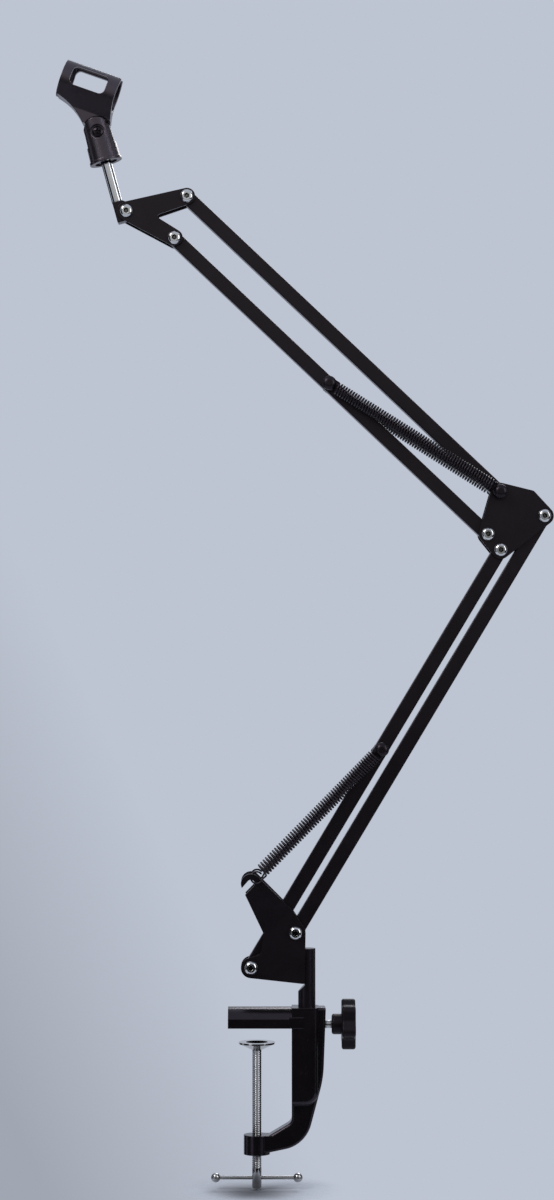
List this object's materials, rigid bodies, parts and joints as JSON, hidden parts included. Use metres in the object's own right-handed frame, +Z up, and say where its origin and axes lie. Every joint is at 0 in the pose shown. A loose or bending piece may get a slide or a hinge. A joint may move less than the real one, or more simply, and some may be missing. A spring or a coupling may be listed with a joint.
{
  "type": "microphone boom arm",
  "caption": "Desk-clamp microphone boom arm: sprung parallelogram links of square tube, swivelling post, elbow plates, tilting shaft and a clip for a microphone.",
  "frame": {"origin": "middle of the upper jaw's underside on the clamp screw's axis, where the desk top meets it", "axes": "+Z up, +X from the clamp screw towards the post, +Y to the rear (the side of the nuts)"},
  "size_m": [0.3544, 0.0366, 0.7974],
  "materials": {
    "cast_black": "satin black powder coat",
    "sheet_black": "satin black powder coat",
    "spring_wire": "black oxide",
    "bolt_black": "black oxide",
    "chrome_bright": "bright chrome",
    "steel_zinc": "zinc plated",
    "knob_plastic": "moulded",
    "clip_plastic": "fine moulded texture",
    "nylon": "black"
  },
  "bodies": {
    "clamp": {"clamp_frame": "cast_black"},
    "dish": {"pressure_dish": "chrome_bright"},
    "screw": {"clamp_screw": "chrome_bright"},
    "tommy": {"tommy_bar": "chrome_bright", "tommy_ball_left": "chrome_bright", "tommy_ball_right": "chrome_bright"},
    "lock_slide": {"lock_stud": "steel_zinc"},
    "lock_grip": {"lock_knob": "knob_plastic"},
    "base": {"base_bracket": "sheet_black", "swivel_post": "sheet_black", "base_bolt_left": "chrome_bright", "base_bolt_right": "chrome_bright", "base_nuts": "steel_zinc", "base_washers": "nylon"},
    "lower_arm": {"lower_spring_bar": "sheet_black", "lower_spring_bolt": "bolt_black", "lower_spring_bolt_spacers": "bolt_black", "lower_spring_nut": "bolt_black", "lower_spring_front": "spring_wire", "lower_spring_rear": "spring_wire"},
    "lower_guide": {"lower_guide_bar": "sheet_black"},
    "elbow": {"elbow_plate_front": "sheet_black", "elbow_plate_rear": "sheet_black", "elbow_bolt_low": "chrome_bright", "elbow_bolt_right": "chrome_bright", "elbow_bolt_left": "chrome_bright", "elbow_spring_bolt": "bolt_black", "elbow_spring_bolt_spacers": "bolt_black", "elbow_nuts": "steel_zinc", "elbow_washers": "nylon"},
    "upper_arm": {"upper_spring_bar": "sheet_black", "upper_spring_bolt": "bolt_black", "upper_spring_bolt_spacers": "bolt_black", "upper_spring_nut": "bolt_black", "upper_spring_front": "spring_wire", "upper_spring_rear": "spring_wire"},
    "upper_guide": {"upper_guide_bar": "sheet_black"},
    "head": {"head_plate_front": "sheet_black", "head_plate_rear": "sheet_black", "head_bolt_low": "chrome_bright", "head_bolt_top": "chrome_bright", "tilt_bolt": "chrome_bright", "head_nuts": "steel_zinc", "head_washers": "nylon"},
    "mic_mount": {"tilt_block": "sheet_black", "mic_shaft": "chrome_bright", "thread_adaptor": "bolt_black", "clip_base": "clip_plastic", "clip_screw": "bolt_black", "clip_nut": "steel_zinc"},
    "clip": {"clip_holder": "clip_plastic"}
  },
  "joints": [
    {"name": "base_swivel", "type": "hinge", "parent": "clamp", "child": "base", "pos_m": [0.035, 0, 0], "axis": [0, 0, 1], "continuous": true},
    {"name": "lower_lift", "type": "hinge", "parent": "base", "child": "lower_arm", "pos_m": [-0.0041, 0, 0.04147], "axis": [0, -1, 0], "range_deg": [-5, 65], "deforming": ["lower_spring_front", "lower_spring_rear"]},
    {"name": "lower_guide_turn", "type": "hinge", "parent": "base", "child": "lower_guide", "pos_m": [0.02705, 0, 0.06563], "axis": [0, -1, 0], "range_deg": [-5, 65]},
    {"name": "elbow_level", "type": "hinge", "parent": "lower_arm", "child": "elbow", "pos_m": [0.1723, 0, 0.33435], "axis": [0, -1, 0], "range_deg": [-65, 5]},
    {"name": "upper_lift", "type": "hinge", "parent": "elbow", "child": "upper_arm", "pos_m": [0.1634, 0, 0.34555], "axis": [0, -1, 0], "range_deg": [-40, 58], "deforming": ["upper_spring_front", "upper_spring_rear"]},
    {"name": "upper_guide_turn", "type": "hinge", "parent": "elbow", "child": "upper_guide", "pos_m": [0.17214, 0, 0.37545], "axis": [0, -1, 0], "range_deg": [-40, 58]},
    {"name": "head_level", "type": "hinge", "parent": "upper_arm", "child": "head", "pos_m": [-0.059, 0, 0.55704], "axis": [0, -1, 0], "range_deg": [-58, 40]},
    {"name": "mic_tilt", "type": "hinge", "parent": "head", "child": "mic_mount", "pos_m": [-0.0934, 0, 0.57634], "axis": [0, -1, 0], "range_deg": [-55, 105]},
    {"name": "clip_tilt", "type": "hinge", "parent": "mic_mount", "child": "clip", "pos_m": [-0.11406, 0, 0.6333], "axis": [0, -1, 0], "range_deg": [-45, 75]},
    {"name": "dish_lift", "type": "slide", "parent": "clamp", "child": "dish", "axis": [0, 0, 1], "range_m": [-0.05, 0.009]},
    {"name": "screw_turn", "type": "hinge", "parent": "dish", "child": "screw", "pos_m": [0, 0, -0.088], "axis": [0, 0, 1], "range_deg": [-14173.2, 2551.2]},
    {"name": "tommy_slide", "type": "slide", "parent": "screw", "child": "tommy", "axis": [1, 0, 0], "range_m": [-0.0205, 0.0205]},
    {"name": "lock_travel", "type": "slide", "parent": "clamp", "child": "lock_slide", "axis": [1, 0, 0], "range_m": [-0.0003, 0.003]},
    {"name": "lock_turn", "type": "hinge", "parent": "lock_slide", "child": "lock_grip", "pos_m": [0.0524, 0, 0.0018], "axis": [1, 0, 0], "range_deg": [-108, 1080]}
  ],
  "couplings": [
    {"joint": "lower_guide_turn", "follows": "lower_lift", "ratio": 1},
    {"joint": "elbow_level", "follows": "lower_lift", "ratio": -1},
    {"joint": "upper_guide_turn", "follows": "upper_lift", "ratio": 1},
    {"joint": "head_level", "follows": "upper_lift", "ratio": -1},
    {"joint": "dish_lift", "follows": "screw_turn", "m_per_rad": 0.00020213},
    {"joint": "lock_travel", "follows": "lock_turn", "m_per_rad": 0.00015915}
  ]
}
